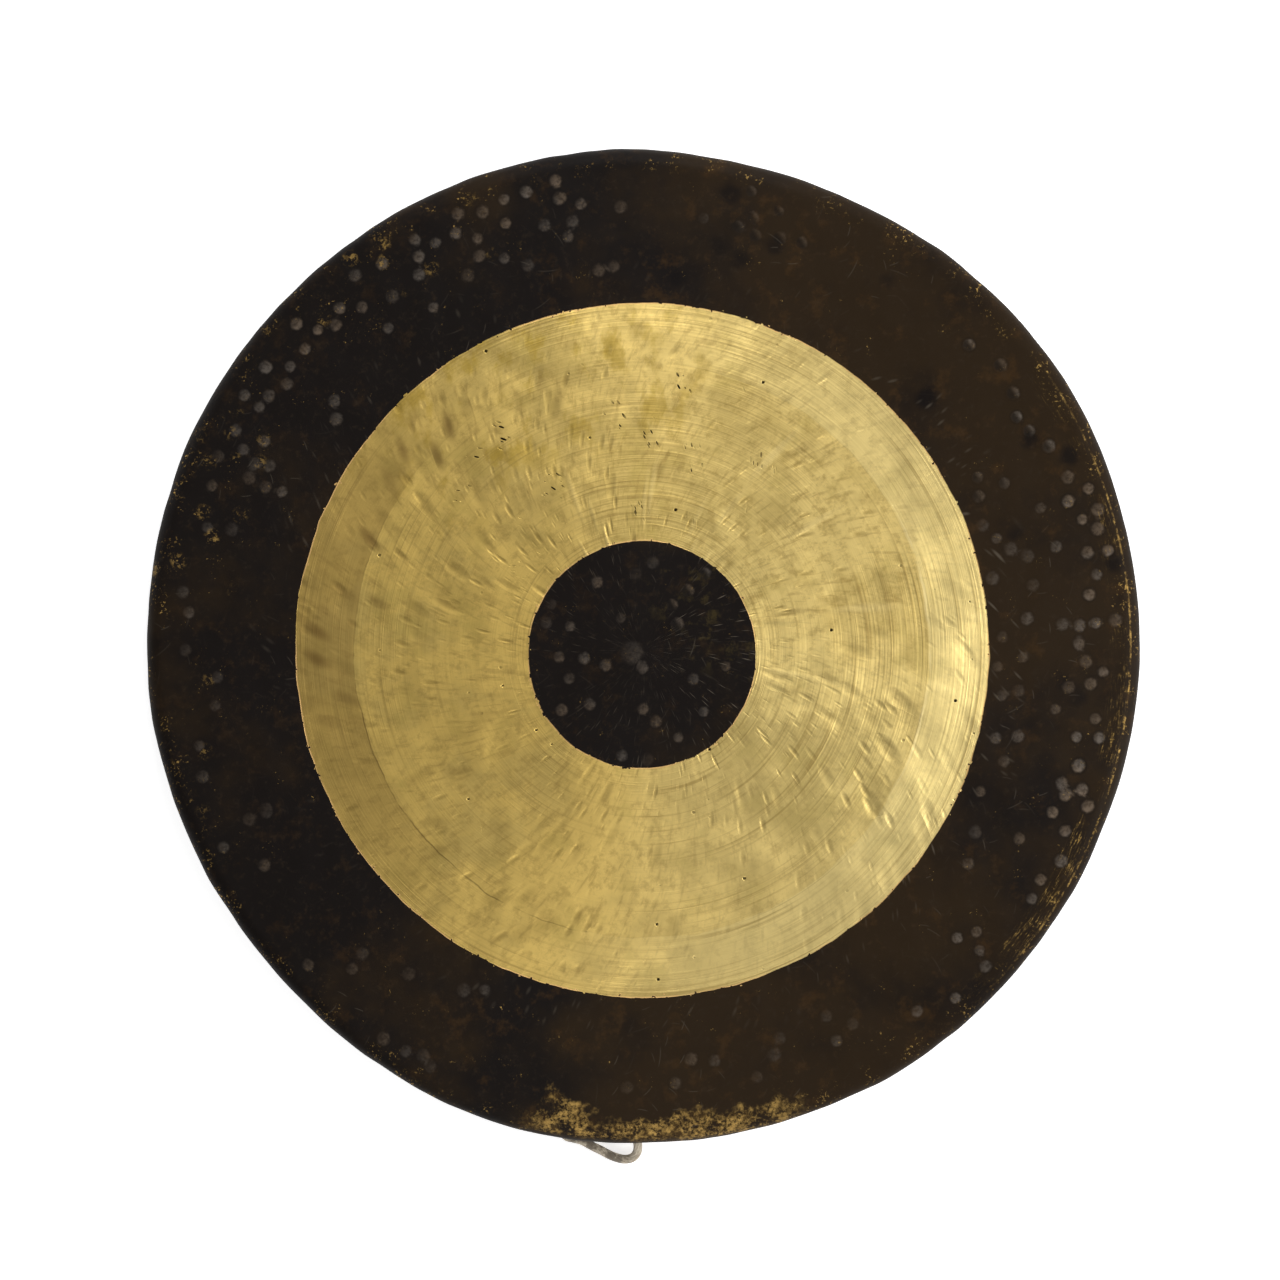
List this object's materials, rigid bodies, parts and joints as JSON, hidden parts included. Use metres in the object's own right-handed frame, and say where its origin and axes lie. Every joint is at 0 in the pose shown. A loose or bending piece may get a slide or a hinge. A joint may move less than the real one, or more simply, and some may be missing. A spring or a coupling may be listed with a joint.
{
  "type": "tam-tam gong",
  "caption": "Hand-hammered bronze tam-tam, dark with a scraped ring on its face, a turned-back rim, and a cord threaded through the rim to hang it by.",
  "frame": {"origin": "on the surface that the gong lies on, under the middle of the gong's bounding box", "axes": "+Z out of the face, which lies upwards, and +Y away from the two cord holes"},
  "size_m": [0.6002, 0.6153, 0.045],
  "materials": {
    "bronze": "hammered bronze with a black-brown patina and a satin scraped ring",
    "cord": "matt twisted cotton, grubby"
  },
  "bodies": {
    "gong": {"gong": "bronze", "cord_run_left": "cord", "cord_run_right": "cord", "cord_knot": "cord", "cord_tail_left": "cord", "cord_tail_right": "cord"},
    "cord_loop": {"cord_bight": "cord"}
  },
  "joints": [
    {"name": "bight_swing", "type": "hinge", "parent": "gong", "child": "cord_loop", "pos_m": [-0.0253, -0.29925, 0.0124], "axis": [-0.9967, 0.0808, 0], "range_deg": [0, 110]}
  ]
}
